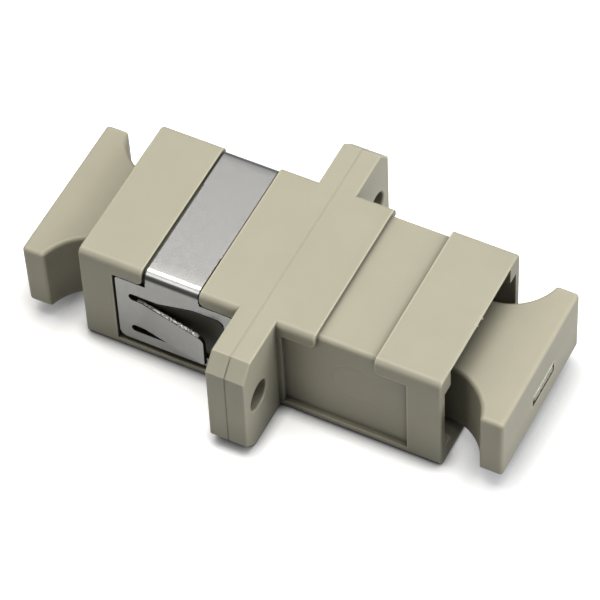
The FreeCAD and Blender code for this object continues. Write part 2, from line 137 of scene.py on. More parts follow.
class Graph:
    """The node tree of one material."""

    def __init__(self, name: str) -> None:
        """Starts a material with one Principled shader.

        Args:
            name: The material's name.
        """
        self.material = bpy.data.materials.new(name)
        self.material.use_nodes = True
        self.tree = self.material.node_tree
        self.shader = self.tree.nodes["Principled BSDF"]
        self.object_coordinates = self.add("ShaderNodeTexCoord", {}, {},
                                           "Object")

    def add(self, kind: str, settings: dict[str, object],
            inputs: dict[int | str, object], output: int | str = 0) -> Term:
        """Adds one node.

        Args:
            kind: The node's type.
            settings: Its own properties, set before its sockets are filled.
            inputs: Values or links, by the socket's name or number.
            output: The socket whose result is wanted.

        Returns:
            That result.
        """
        node = self.tree.nodes.new(kind)
        for key, value in settings.items():
            setattr(node, key, value)
        for key, value in inputs.items():
            self._fill(node.inputs[key], value)
        return Term(self, node.outputs[output])

    def _fill(self, socket: bpy.types.NodeSocket, value: object) -> None:
        """Links a result to a socket, or sets the socket's own value.

        Args:
            socket: The input socket.
            value: A Term, a number, or a tuple.
        """
        if isinstance(value, Term):
            self.tree.links.new(value.socket, socket)
        else:
            socket.default_value = value

    def set(self, **values: object) -> None:
        """Fills sockets of the shader; an underscore stands for a space."""
        for key, value in values.items():
            self._fill(self.shader.inputs[key.replace("_", " ")], value)

    def noise(self, size_mm: float, detail: float = 2.0,
              stretch: tuple[float, float, float] = (1.0, 1.0, 1.0)) -> Term:
        """Cloudy pattern between 0 and 1.

        Args:
            size_mm: About how wide one cloud is.
            detail: How many finer layers it has.
            stretch: How much longer a cloud is along each axis.

        Returns:
            The pattern.
        """
        scale = tuple(1.0 / (size_mm * MM * s) for s in stretch)
        placed = self.add("ShaderNodeMapping", {}, {
            "Vector": self.object_coordinates, "Scale": scale})
        return self.add("ShaderNodeTexNoise", {},
                        {"Vector": placed, "Scale": 1.0, "Detail": detail})

    def blend(self, share: Term, first: tuple | Term,
              second: tuple | Term) -> Term:
        """Mixes two colours.

        Args:
            share: How much of the second colour there is.
            first: Colour where the share is 0.
            second: Colour where the share is 1.

        Returns:
            The mixed colour.
        """
        return self.add("ShaderNodeMix", {"data_type": "RGBA"}, {
            0: share, 6: first, 7: second}, 2)

    def softened(self, radius_mm: float) -> Term:
        """Surface direction with every sharp edge rounded.

        Args:
            radius_mm: Radius of the rounding.

        Returns:
            The direction.
        """
        return self.add("ShaderNodeBevel", {"samples": 8},
                        {"Radius": radius_mm * MM})

    def edge_share(self, softened: Term, gain: float) -> Term:
        """How close a point is to an edge, from how far its direction turns.

        Args:
            softened: The rounded direction.
            gain: How quickly the share rises towards the edge.

        Returns:
            0 on flat ground, up to 1 on an edge.
        """
        along = self.add("ShaderNodeVectorMath", {"operation": "DOT_PRODUCT"},
                         {0: softened, 1: self.facing()}, "Value")
        return ((1.0 - along) * gain).clamped()

    def facing(self) -> Term:
        """The direction that the mesh's own face has."""
        return self.add("ShaderNodeNewGeometry", {}, {}, "True Normal")

    def closeness(self, reach_mm: float, inside: bool = False) -> Term:
        """How shut in a point is by the surfaces round it.

        Args:
            reach_mm: How far off a surface still counts.
            inside: Whether it looks inwards, where a sharp convex edge is
                the place that is shut in.

        Returns:
            0 in the open, towards 1 where it is shut in.
        """
        return 1.0 - self.add("ShaderNodeAmbientOcclusion",
                              {"samples": 8, "inside": inside},
                              {"Distance": reach_mm * MM}, "AO")

    def part(self, vector: Term, axis: str) -> Term:
        """One coordinate of a vector.

        Args:
            vector: The vector.
            axis: X, Y or Z.

        Returns:
            The coordinate.
        """
        return self.add("ShaderNodeSeparateXYZ", {}, {"Vector": vector}, axis)

    def place_mm(self, axis: str) -> Term:
        """One coordinate of a point of the adapter, in millimetres."""
        return self.part(self.object_coordinates, axis) * (1.0 / MM)

    def relief(self, height: Term, depth_mm: float,
               softened: Term | None = None) -> Term:
        """Fine relief on top of a surface direction.

        Args:
            height: Pattern between 0 and 1.
            depth_mm: Height of the pattern.
            softened: The direction it is laid on, if not the mesh's own.

        Returns:
            The direction of the relief.
        """
        inputs = {"Height": height, "Distance": depth_mm * MM}
        if softened is not None:
            inputs["Normal"] = softened
        return self.add("ShaderNodeBump", {}, inputs)


def rgba(colour: tuple[float, float, float], gain: float = 1.0) -> tuple:
    """The colour, made lighter or darker, with an alpha of 1."""
    return tuple(min(1.0, c * gain) for c in colour) + (1.0,)


# ---------------------------------------------------------------- finishes --
@dataclass(frozen=True)
class MouldedPlastic:
    """Satin moulding: spark-eroded grain, flow clouds, painted edge
    highlights.

    Corners and deep places are darker: painted shade.  Convex edges are
    paler and warmer: a painted highlight, left off the edges of the welded
    seam at x = 0.  A recess floor at covered_y off the middle, which the
    clip covers, gets more painted shade.
    """

    name: str
    colour: tuple[float, float, float]
    edge_highlight_colour: tuple[float, float, float]
    roughness: float = 0.42
    edge_radius_mm: float = 0.09
    edge_band_mm: float = 0.16
    edge_gain: float = 2.4
    edge_cover: float = 0.9
    seam_mm: float = 0.14
    grain_mm: float = 0.12
    grain_depth_mm: float = 0.005
    peel_mm: float = 0.7
    cloud_mm: float = 3.0
    cloudiness: float = 0.06
    speck_mm: float = 0.22
    speck_level: float = 0.62
    speck_cover: float = 0.12
    deep_mm: float = 4.0
    depth_shade: float = 0.8
    crevice_mm: float = 0.5
    crevice_gain: float = 0.8
    darkest: float = 0.12
    covered_y_mm: float = 0.0
    covered_half_mm: float = 0.04
    covered_shade: float = 0.75
    translucency: float = 0.06
    bleed_mm: float = 0.2

    def material(self) -> bpy.types.Material:
        """Builds the node tree.

        Returns:
            The finished material.
        """
        g = Graph(self.name)
        # Painted highlight: convex edges get a paler, warmer colour, as if
        # they caught the light; the weld seam's edges don't.
        edge = (g.closeness(self.edge_band_mm, True)
                * self.edge_gain).clamped()
        edge = edge * g.place_mm("X").size().above(self.seam_mm, 20.0)
        grain = g.noise(self.grain_mm, 3.0)
        peel = g.noise(self.peel_mm, 1.0)
        specks = g.noise(self.speck_mm, 1.0).above(self.speck_level, 5.0)
        # Painted shade: corners, crevices and deep places are darkened by how
        # shut in they are.
        shut = (g.closeness(self.deep_mm) * self.depth_shade
                + g.closeness(self.crevice_mm) * self.depth_shade
                * self.crevice_gain).clamped()
        body = g.blend(g.noise(self.cloud_mm, 4.0),
                       rgba(self.colour, 1.0 - self.cloudiness),
                       rgba(self.colour, 1.0 + self.cloudiness))
        body = g.blend(specks * self.speck_cover, body,
                       rgba(self.colour, 0.8))
        body = g.blend(edge * self.edge_cover, body, rgba(self.edge_highlight_colour))
        body = g.blend(shut, body, rgba(self.colour, self.darkest))
        # Painted shade: the recess floor that the clip covers is darkened
        # further.
        if self.covered_y_mm:
            body = g.blend(self.covered(g) * self.covered_shade, body,
                           rgba(self.colour, self.darkest))
        g.set(Base_Color=body,
              Roughness=self.roughness + (grain - 0.5) * 0.16 - edge * 0.1,
              Normal=g.relief(grain * 0.7 + peel * 0.3, self.grain_depth_mm,
                              g.softened(self.edge_radius_mm)),
              Subsurface_Weight=self.translucency,
              Subsurface_Radius=(1.0, 0.85, 0.5),
              Subsurface_Scale=self.bleed_mm * MM)
        return g.material

    def covered(self, g: Graph) -> Term:
        """Where the faces lie that the clip covers and that get painted shade.

        Args:
            g: The material's node tree.

        Returns:
            1 on faces turned to the side and covered_y off the middle.
        """
        away = (g.place_mm("Y").size() - self.covered_y_mm).size()
        turned = g.part(g.facing(), "Y").size()
        return (away.below(self.covered_half_mm, 100.0)
                * turned.above(0.5, 10.0))


@dataclass(frozen=True)
class SpringSteel:
    """Rolled strip: grain along the strip, painted highlights on its edges,
    painted shade on its sheared walls.

    The strip is a little crowned towards its bends, with a height of
    -crown * max(0, |y| - crown_y)^2.  Both bends carry a painted highlight,
    with a painted dark reflection in a line under each, and painted shade
    darkens the level part towards +Y.
    """

    name: str
    colour: tuple[float, float, float] = (0.565, 0.56, 0.543)
    roughness: float = 0.25
    edge_radius_mm: float = 0.04
    edge_highlight: float = 0.25
    grain_mm: float = 0.08
    grain_depth_mm: float = 0.00006
    pit_mm: float = 0.12
    mottle_mm: float = 0.5
    mottle_gain: float = 2.6
    mottling: float = 0.08
    crown_y_mm: float = 4.6
    crown: float = 0.016
    bend_y_mm: float = 5.7
    bend_highlight_y_mm: float = 5.78
    panel_y_mm: float = 5.95
    bend_highlight_z_mm: float = 4.28
    line_top_mm: float = 4.31
    line_foot_mm: float = 3.72
    wall_top_mm: float = 3.6
    shade_y_mm: float = 5.0
    shade_gain: float = 0.8

    def material(self) -> bpy.types.Material:
        """Builds the node tree.

        Returns:
            The finished material.
        """
        g = Graph(self.name)
        soft = g.softened(self.edge_radius_mm)
        drawn = g.noise(self.grain_mm, 2.0, (1.0, 14.0, 14.0))
        pits = g.noise(self.pit_mm, 2.0)
        off, high = g.place_mm("Y").size(), g.place_mm("Z")
        turned = g.part(g.facing(), "Y").size()
        upper = high.above(self.wall_top_mm, 10.0)
        bent = off.above(self.bend_y_mm, 4.0) * upper
        # Painted shade: the cut walls of the slits and the window are near
        # black, as the shade inside them.
        wall = (off.above(self.panel_y_mm, 100.0) * turned.below(0.9, 10.0)
                * (1.0 - upper))
        # Painted highlight on the upper part of each bend.
        bend_highlight = (off.above(self.bend_highlight_y_mm, 8.0)
                  * high.above(self.bend_highlight_z_mm, 14.0))
        # Painted dark reflection: a dark line under each bend.
        line = (off.above(self.panel_y_mm, 10.0)
                * high.below(self.line_top_mm, 10.0)
                * high.above(self.line_foot_mm, 4.5))
        # Painted shade: the strip darkens towards +Y, on faces not turned to
        # the side.
        far = (g.place_mm("Y") - self.shade_y_mm).raised()
        shade = (far * far * self.shade_gain).clamped()
        mottle = (g.noise(self.mottle_mm, 3.0) * 0.4 + drawn * 0.4
                  + pits * 0.2)
        body = g.blend(((mottle - 0.5) * self.mottle_gain + 0.5).clamped(),
                       rgba(self.colour, 1.0 - self.mottling),
                       rgba(self.colour, 1.0 + self.mottling))
        # Painted light, in turn: edge highlight, shade on the cut walls,
        # highlight on the bends, dark reflection under them, shade towards +Y.
        for share, gain in (
                (g.edge_share(soft, 4.0) * self.edge_highlight, 1.4),
                (wall, 0.02), (bend_highlight, 1.6), (line * 0.92, 0.1),
                (shade * turned.below(0.7, 4.0), 0.3)):
            body = g.blend(share, body, rgba(self.colour, gain))
        past = (off - self.crown_y_mm).raised()
        crowned = g.relief(1.0 - past * past * self.crown, 1.0, soft)
        g.set(Base_Color=body,
              Metallic=1.0,
              Roughness=(self.roughness + (pits - 0.5) * 0.05 + wall * 0.5
                         + bent * 0.14),
              Normal=g.relief(drawn * 0.5 + pits * 0.5,
                              self.grain_depth_mm, crowned))
        return g.material


@dataclass(frozen=True)
class TornSteel:
    """Metal torn by the punch: bright facets among dark pits."""

    name: str
    colour: tuple[float, float, float] = (0.92, 0.91, 0.88)
    facet_mm: float = 0.13
    facet_level: float = 0.40
    facet_depth_mm: float = 0.012
    pit_gain: float = 0.2

    def material(self) -> bpy.types.Material:
        """Builds the node tree.

        Returns:
            The finished material.
        """
        g = Graph(self.name)
        facets = g.noise(self.facet_mm, 2.0)
        bright = facets.above(self.facet_level, 7.0)
        g.set(Base_Color=g.blend(bright, rgba(self.colour, self.pit_gain),
                                 rgba(self.colour)),
              Metallic=0.75,
              Roughness=0.6 - bright * 0.15,
              Normal=g.relief(facets, self.facet_depth_mm))
        return g.material


@dataclass(frozen=True)
class GroundCeramic:
    """Zirconia ground round: near white, glossy, with faint grinding rings."""

    name: str
    colour: tuple[float, float, float] = (0.88, 0.87, 0.84)
    roughness: float = 0.16
    edge_radius_mm: float = 0.03
    ring_mm: float = 0.03
    ring_depth_mm: float = 0.0004
    cloud_mm: float = 1.5
    cloudiness: float = 0.03
    translucency: float = 0.2
    bleed_mm: float = 0.3

    def material(self) -> bpy.types.Material:
        """Builds the node tree.

        Returns:
            The finished material.
        """
        g = Graph(self.name)
        rings = g.noise(self.ring_mm, 1.0, (1.0, 60.0, 60.0))
        g.set(Base_Color=g.blend(g.noise(self.cloud_mm, 2.0),
                                 rgba(self.colour, 1.0 - self.cloudiness),
                                 rgba(self.colour, 1.0 + self.cloudiness)),
              Roughness=self.roughness + (rings - 0.5) * 0.08,
              Normal=g.relief(rings, self.ring_depth_mm,
                              g.softened(self.edge_radius_mm)),
              Subsurface_Weight=self.translucency,
              Subsurface_Radius=(1.0, 0.95, 0.85),
              Subsurface_Scale=self.bleed_mm * MM)
        return g.material


@dataclass(frozen=True)
class StudioPaper:
    """Plain pale paper, with a painted shadow close round what lies on it.

    The caps of the dust plugs hang over it past cap_x, so there a wider
    painted shadow is added under them.
    """

    name: str
    shade: float
    tint: tuple[float, float, float] = (1.0, 1.0, 1.0)
    glow: float = 0.0
    fibre_mm: float = 0.6
    contact: float = 0.0
    contact_mm: float = 1.0
    overhang: float = 1.0
    overhang_mm: float = 3.2
    cap_x_mm: float = 14.0

    def material(self) -> bpy.types.Material:
        """Builds the node tree.

        Returns:
            The finished material.
        """
        g = Graph(self.name)
        body = g.blend(g.noise(self.fibre_mm, 2.0),
                       rgba(self.tint, self.shade * 0.99),
                       rgba(self.tint, self.shade))
        light = WHITE
        # Painted shadow: the paper's colour and glow darken close round the
        # adapter and under the caps.
        if self.contact:
            under_caps = g.place_mm("X").size().above(self.cap_x_mm, 0.5)
            shut = (g.closeness(self.contact_mm) * self.contact
                    + g.closeness(self.overhang_mm) * under_caps
                    * self.overhang).clamped()
            body = g.blend(shut, body, BLACK)
            light = g.blend(shut, WHITE, BLACK)
        g.set(Base_Color=body, Roughness=0.9, Specular_IOR_Level=0.0,
              Emission_Color=light, Emission_Strength=self.glow)
        return g.material


# ----------------------------------------------------------------- surfaces --
def ripple(t: np.ndarray, seed: int, lowest: float, highest: float,
           waves: int = 24) -> np.ndarray:
    """Smooth irregular curve between about -1 and 1.

    Sum of sines whose whole-number frequencies and phases come from a seeded
    draw: r(t) = sqrt(2 / n) * sum of sin(2 pi (f t + p)) / 2.  Whole numbers
    make it meet itself when t runs from 0 to 1.

    Args:
        t: Places along the curve, from 0 to 1, of any shape.
        seed: Seed of the draw.
        lowest: Lowest frequency.
        highest: Highest frequency.
        waves: How many sines.

    Returns:
        The curve's values, with the shape of t.
    """
    rng = np.random.default_rng(seed)
    frequency = np.round(rng.uniform(lowest, highest, waves))
    phase = rng.uniform(0.0, 1.0, waves)
    angle = 2.0 * math.pi * (t[..., None] * frequency + phase)
    return np.sin(angle).sum(-1) * math.sqrt(2.0 / waves) / 2.0


def walked(corners: np.ndarray, steps: int,
           joined: bool) -> tuple[np.ndarray, np.ndarray]:
    """Even steps along a path of straight runs.

    Each point lies on the run that its share of the whole length falls in,
    as far between the run's two corners as the length is.

    Args:
        corners: The path's corners, n by 2.
        steps: How many points.
        joined: Whether the last corner meets the first.

    Returns:
        The shares of the length, from 0 to 1, and the points, steps by 2.
    """
    if joined:
        corners = np.vstack([corners, corners[:1]])
    length = np.hypot(*np.diff(corners, axis=0).T)
    reach = np.concatenate([[0.0], np.cumsum(length)])
    s = np.linspace(0.0, reach[-1], steps, endpoint=not joined)
    points = [np.interp(s, reach, corners[:, k]) for k in (0, 1)]
    return s / reach[-1], np.stack(points, 1)


def eased(path: np.ndarray, reach: int) -> np.ndarray:
    """Rounds a path's bends: each point becomes the mean of those near it.

    Args:
        path: Points, n by 2.
        reach: How many points on each side count.

    Returns:
        The eased points, n by 2.
    """
    held = np.pad(path, ((reach, reach), (0, 0)), mode="edge")
    span = 2 * reach + 1
    mean = np.ones(span) / span
    return np.stack([np.convolve(held[:, k], mean, "valid")
                     for k in (0, 1)], 1)


def unit(vectors: np.ndarray) -> np.ndarray:
    """The vectors, n by 2, each made 1 long."""
    return vectors / np.linalg.norm(vectors, axis=1)[:, None]


def tapered(t: np.ndarray, start: float, end: float, least: float = 0.0,
            power: float = 0.5) -> np.ndarray:
    """Size that grows in from both ends of a path.

    w(t) = min(1, max(least, min(start t, end (1 - t)))) ^ power.

    Args:
        t: Places along the path, from 0 to 1.
        start: How steeply it grows from the start.
        end: How steeply it grows from the end.
        least: What is left of it at the very ends, before the power.
        power: Below 1 for blunt ends.

    Returns:
        The sizes.
    """
    grown = np.minimum(t * start, (1.0 - t) * end)
    return np.clip(grown, least, 1.0) ** power


def all_round(values: np.ndarray, points: int = 8) -> np.ndarray:
    """The same value at every angle of a profile, n by points."""
    return np.repeat(values[:, None], points, 1)


def all_along(direction: tuple[float, float, float],
              steps: int) -> np.ndarray:
    """The same direction at every step of a path, steps by 3."""
    return np.tile(direction, (steps, 1))


def carried(centres: np.ndarray, across: np.ndarray, upward: np.ndarray,
            wide: np.ndarray, high: np.ndarray) -> np.ndarray:
    """Closed profile carried along a path.

    p(i, a) = c(i) + across(i) * wide(i, a) * cos a + upward(i) * high(i, a)
    * sin a, for the angle a once round.

    Args:
        centres: Points of the path, n by 3.
        across: Unit vectors across the path, n by 3.
        upward: Unit vectors away from the surface it lies on, n by 3.
        wide: Half width at each point and angle, n by m.
        high: Half height at each point and angle, n by m.

    Returns:
        Points, n by m by 3.
    """
    a = np.linspace(0.0, 2.0 * math.pi, wide.shape[1], endpoint=False)
    return (centres[:, None, :]
            + across[:, None, :] * (wide * np.cos(a))[..., None]
            + upward[:, None, :] * (high * np.sin(a))[..., None])


def piece(name: str, grid: np.ndarray, joined: bool, body: str,
          material: bpy.types.Material) -> bpy.types.Object:
    """Makes a closed mesh piece from a grid of points and sets it on a body.

    Rows run along the path and columns go round it.  A joined path closes on
    itself; an open one is closed by a pole at the middle of each end.

    Args:
        name: The piece's name.
        grid: Points in millimetres, n by m by 3.
        joined: Whether the last row meets the first.
        body: The CAD body it moves with.
        material: Its finish.

    Returns:
        The piece.
    """
    rows, columns = grid.shape[:2]
    index = np.arange(rows * columns).reshape(rows, columns)
    points = grid.reshape(-1, 3)
    ahead = np.roll(index, -1, 0) if joined else index[1:]
    here = index if joined else index[:-1]
    quads = np.stack([here, np.roll(here, -1, 1),
                      np.roll(ahead, -1, 1), ahead], -1).reshape(-1, 4)
    faces = quads.tolist()
    if not joined:
        ends = np.stack([grid[0].mean(0), grid[-1].mean(0)])
        first, last = rows * columns, rows * columns + 1
        points = np.vstack([points, ends])
        turn = np.roll(index, -1, 1)
        faces += [[first, b, a] for a, b in zip(index[0], turn[0])]
        faces += [[last, a, b] for a, b in zip(index[-1], turn[-1])]
    mesh = bpy.data.meshes.new(name)
    mesh.from_pydata((points * MM).tolist(), [], faces)
    mesh.polygons.foreach_set("use_smooth", [True] * len(mesh.polygons))
    if enclosed(points, quads) < 0.0:
        mesh.flip_normals()
    mesh.materials.append(material)
    mesh.update()
    made = bpy.data.objects.new(name, mesh)
    bpy.context.scene.collection.objects.link(made)
    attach(made, body)
    log.info("%s: %d faces on %s", name, len(faces), body)
    return made


def enclosed(points: np.ndarray, quads: np.ndarray) -> float:
    """Volume inside the quads, below 0 where they face inwards.

    Sum over the two triangles of each quad of a . (b x c) / 6, about the
    points' own middle.

    Args:
        points: Points, k by 3.
        quads: Four indices a face.

    Returns:
        The signed volume.
    """
    p = points[quads] - points.mean(0)
    one = np.einsum("ij,ij->i", p[:, 0], np.cross(p[:, 1], p[:, 2]))
    two = np.einsum("ij,ij->i", p[:, 0], np.cross(p[:, 2], p[:, 3]))
    return float((one + two).sum() / 6.0)


def dress(node: str, material: bpy.types.Material) -> None:
    """Gives a CAD node its finish.

    Args:
        node: The node's name.
        material: The finish.
    """
    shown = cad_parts[node]
    for held in shown.material_slots:
        held.material = material
    if not shown.material_slots:
        shown.data.materials.append(material)
    log.info("%s dressed in %s", node, material.name)


class Side(Enum):
    """The two sides of the adapter along the Y axis."""

    NEAR = -1
    FAR = 1


class End(Enum):
    """The two ends of the adapter along the fibre axis."""

    LEFT = -1
    RIGHT = 1


# ---------------------------------------------------------- sub-assemblies --
@dataclass
class Shells:
    """The two housing shells, welded at the middle of the flange."""

    half_flange: float = 11.1
    half_height: float = 4.55
    half_length: float = 13.7
    top_chamfer_y: float = 1.1
    top_chamfer_z: float = 1.2
    low_chamfer: float = 1.05
    flash: float = 0.045
    flash_sway: float = 0.01
    recess_floor: float = 5.9
    pin_x: float = 7.1
    pin_z: float = 0.5
    pin_radius: float = 1.7
    pin_ridge: float = 0.007
    mouth_top: float = 4.425
    mouth_half_width: float = 4.5
    mouth_flash_half: float = 0.02
    mouth_burrs: tuple[tuple[float, float], ...] = ((0.1, 0.13), (-0.6, 0.10))
    burr_width: float = 0.07

    def build(self, plastic: bpy.types.Material,
              covered: bpy.types.Material,
              weld: bpy.types.Material) -> None:
        """Dresses both shells and adds the marks of their making.

        Args:
            plastic: Finish of the shells.
            covered: The same, with painted shade where the clip covers it.
            weld: Finish of the plastic squeezed out of the weld.
        """
        for end, finish in ((End.RIGHT, plastic), (End.LEFT, covered)):
            dress(f"housing_{end.name.lower()}", finish)
            self.mouth_flash(end, finish)
            for side in Side:
                self.pin_mark(end, side, finish)
        self.weld_flash(weld)

    def weld_flash(self, weld: bpy.types.Material) -> None:
        """Thin irregular line of plastic squeezed out of the weld.

        A round profile carried along the flange's eight-sided outline, with
        a radius that wanders along the path.  Along the top it is flatter,
        wider and less sunk.

        Args:
            weld: Finish of the flash.
        """
        steps = 900
        y, z = self.half_flange, self.half_height
        right = np.array([
            (y - self.low_chamfer, -z), (y, self.low_chamfer - z),
            (y, z - self.top_chamfer_z), (y - self.top_chamfer_y, z)])
        t, path = walked(np.vstack([right, right[::-1] * (-1, 1)]), steps,
                         True)
        ahead = unit(np.roll(path, -1, 0) - np.roll(path, 1, 0))
        out = np.stack([np.zeros(steps), ahead[:, 1], -ahead[:, 0]], 1)
        on_top = np.clip((path[:, 1] - z) * 3.0 + 1.0, 0.0, 1.0)
        sway = self.flash_sway * ripple(t, 3, 20, 90)
        sunk = self.flash * (1.1 - 0.75 * on_top)
        centres = (np.stack([sway, path[:, 0], path[:, 1]], 1)
                   - out * sunk[:, None])
        size = all_round(self.flash * (0.6 + 0.2 * ripple(t, 5, 30, 160)))
        flat = all_round(self.flash * (0.4 + 1.2 * on_top))
        piece("weld_flash",
              carried(centres, all_along((1.0, 0.0, 0.0), steps), out,
                      size + flat, size * 0.6),
              True, "adapter", weld)

    def pin_mark(self, end: End, side: Side,
                 plastic: bpy.types.Material) -> None:
        """Faint raised ring where an ejector pin met the recess floor.

        A flat profile carried round a circle: p(t) = centre + r (cos t,
        sin t) in the plane of the recess floor.

        Args:
            end: The shell.
            side: The side wall.
            plastic: Finish of the shell.
        """
        steps = 96
        t = np.linspace(0.0, 1.0, steps, endpoint=False)
        a = 2.0 * math.pi * t
        radial = np.stack([np.cos(a), np.zeros(steps), np.sin(a)], 1)
        centre = np.array([end.value * self.pin_x,
                           side.value * self.recess_floor, self.pin_z])
        size = all_round(self.pin_ridge * (0.55 + 0.25 * ripple(t, 11, 2, 9)))
        piece(f"pin_mark_{end.name.lower()}_{side.name.lower()}",
              carried(centre + radial * self.pin_radius, radial,
                      all_along((0.0, side.value, 0.0), steps),
                      size * 1.6, size * 0.5),
              True, "adapter", plastic)

    def mouth_flash(self, end: End, plastic: bpy.types.Material) -> None:
        """Sliver of flash along the thin top edge of a mouth.

        A flat profile carried straight across the mouth.  Its reach past the
        rim is a faint irregular curve plus one bell, b exp(-(d / w)^2), for
        each burr of height b at the distance d, all w wide.

        Args:
            end: The mouth.
            plastic: Finish of the shell.
        """
        steps = 320
        t = np.linspace(0.0, 1.0, steps)
        y = (t * 2.0 - 1.0) * self.mouth_half_width
        reach = 0.014 + 0.012 * np.clip(ripple(t, 21, 6, 40), 0.0, 1.0)
        for place, burr in self.mouth_burrs:
            reach += burr * np.exp(
                -((y - place * end.value) / self.burr_width) ** 2)
        taper = tapered(t, 25.0, 25.0)
        centres = np.stack([np.full(steps, end.value * self.half_length), y,
                            np.full(steps, self.mouth_top)], 1)
        piece(f"mouth_flash_{end.name.lower()}",
              carried(centres, all_along((end.value, 0.0, 0.0), steps),
                      all_along((0.0, 0.0, 1.0), steps),
                      all_round(reach * taper),
                      all_round(self.mouth_flash_half * taper)),
              False, "adapter", plastic)


@dataclass
class Core:
    """The latch bodies and the ceramic sleeve between them."""

    latch_nodes: tuple[str, ...] = ("latch_body_right", "latch_body_left")
    sleeve_node: str = "alignment_sleeve"

    def build(self, plastic: bpy.types.Material,
              ceramic: bpy.types.Material) -> None:
        """Dresses the three inner pieces.

        Args:
            plastic: Finish of the latch bodies.
            ceramic: Finish of the sleeve.
        """
        for node in self.latch_nodes:
            dress(node, plastic)
        dress(self.sleeve_node, ceramic)


@dataclass
class PanelClip:
    """The folded spring clip and the torn rims of its two tongues."""

    root_x: float = 9.37
    tip_x: float = 3.6
    face_y: float = 6.2
    bend_radius: float = 2.5
    bend_degrees: float = 11.6
    sheet: float = 0.2
    rim_z: float = 1.1
    corner: float = 0.5
    burr: float = 0.12
    burr_foot: float = 0.004
    burr_sway: float = 0.03
    roll: float = 0.085
    roll_sunk: float = 0.01
    window_edge: tuple[tuple[float, float], ...] = (
        (-8.3, 1.53), (-7.7, 1.53), (-5.0, 2.25), (-3.0, 2.25),
        (-2.75, 2.0), (-2.75, 1.6))

    def build(self, steel: bpy.types.Material, torn: bpy.types.Material,
              painted_dark_steel: bpy.types.Material) -> None:
        """Dresses the clip and adds the torn and the rolled rims.

        Args:
            steel: Finish of the strip.
            torn: Finish of its torn metal.
            painted_dark_steel: Finish of the rims, a painted dark reflection.
        """
        dress("panel_clip", steel)
        for side in Side:
            self.torn_rim(side, torn)
            self.window_roll(side, painted_dark_steel)

    def tongue_line(self, s: np.ndarray) -> tuple[np.ndarray, np.ndarray]:
        """Middle of the tongue's thickness, seen from above, on the far side.

        An arc of the bend's angle from the root, then straight on: for an
        arc length s up to R a, (x, y) = (root - R sin(s / R), face + R0 -
        R cos(s / R)), and past it the line that leaves the arc.

        Args:
            s: Distances from the root along the tongue.

        Returns:
            The points and the unit vectors that point away from the adapter.
        """
        radius = self.bend_radius + self.sheet / 2.0
        full = math.radians(self.bend_degrees)
        angle = np.minimum(s / radius, full)
        rest = np.maximum(s - radius * full, 0.0)
        x = -(self.root_x - radius * np.sin(angle) - rest * math.cos(full))
        y = (self.face_y + self.bend_radius - radius * np.cos(angle)
             + rest * math.sin(full))
        out = np.stack([-np.sin(angle), np.cos(angle), np.zeros_like(s)], 1)
        return np.stack([x, y], 1), out

    def torn_rim(self, side: Side, torn: bpy.types.Material) -> None:
        """Jagged bead of torn metal along a tongue's upper edge.

        A profile as wide as the sheet carried along the tongue's line; its
        height and width wander with two irregular curves, and it fades in
        from the root.

        Args:
            side: The side panel.
            torn: Finish of the bead.
        """
        steps = 520
        t = np.linspace(0.0, 1.0, steps)
        run = (self.root_x - self.tip_x) / math.cos(
            math.radians(self.bend_degrees)) - self.corner
        line, out = self.tongue_line(t * run)
        mirror = np.array([1.0, side.value])
        line, out = line * mirror, out * np.append(mirror, 1.0)
        fade = np.clip(t * 3.2 - 0.6, 0.0, 1.0) * np.minimum(
            1.0, (1.0 - t) * 40.0 + 0.05)
        jag = ripple(t, 31 + side.value, 12, 70, 40)
        tooth = ripple(t, 41 + side.value, 30, 110, 40)
        centres = np.stack([line[:, 0], line[:, 1],
                            np.full(steps, self.rim_z)], 1)
        centres += out * (self.burr_sway * jag * fade)[:, None]
        wide = 0.5 * self.sheet * (0.96 + 0.4 * np.abs(tooth) * fade)
        high = self.burr * fade * (0.65 + 0.6 * np.abs(jag)) + self.burr_foot
        angle = np.linspace(0.0, 1.0, 12, endpoint=False)
        rough = 1.0 + 0.25 * ripple(
            (t[:, None] * 7.0 + angle[None, :]) % 1.0, 51, 3, 12)
        piece(f"torn_rim_{side.name.lower()}",
              carried(centres, out, all_along((0.0, 0.0, 1.0), steps),
                      wide[:, None] * rough, high[:, None] * rough),
              False, "adapter", torn)

    def window_roll(self, side: Side,
                    painted_dark_steel: bpy.types.Material) -> None:
        """Rolled-in rim along the upper edge of a side panel's window.

        A round profile carried along the edge: up the slope, level along
        the crest and round the corner, with its bends eased by a running
        mean.

        Args:
            side: The side panel.
            painted_dark_steel: Finish of the rim, a painted dark reflection.
        """
        steps = 240
        t, path = walked(np.array(self.window_edge), steps, False)
        path = eased(path, 12)
        ahead = unit(np.gradient(path, axis=0))
        size = all_round(self.roll * tapered(t, 3.0, 12.0, 0.05), 12)
        face = side.value * (self.face_y - self.roll - self.roll_sunk)
        centres = np.stack([path[:, 0], np.full(steps, face),
                            path[:, 1] - 0.4 * self.roll], 1)
        normal = np.stack([-ahead[:, 1], np.zeros(steps), ahead[:, 0]], 1)
        piece(f"window_roll_{side.name.lower()}",
              carried(centres, normal,
                      all_along((0.0, side.value, 0.0), steps), size, size),
              False, "adapter", painted_dark_steel)


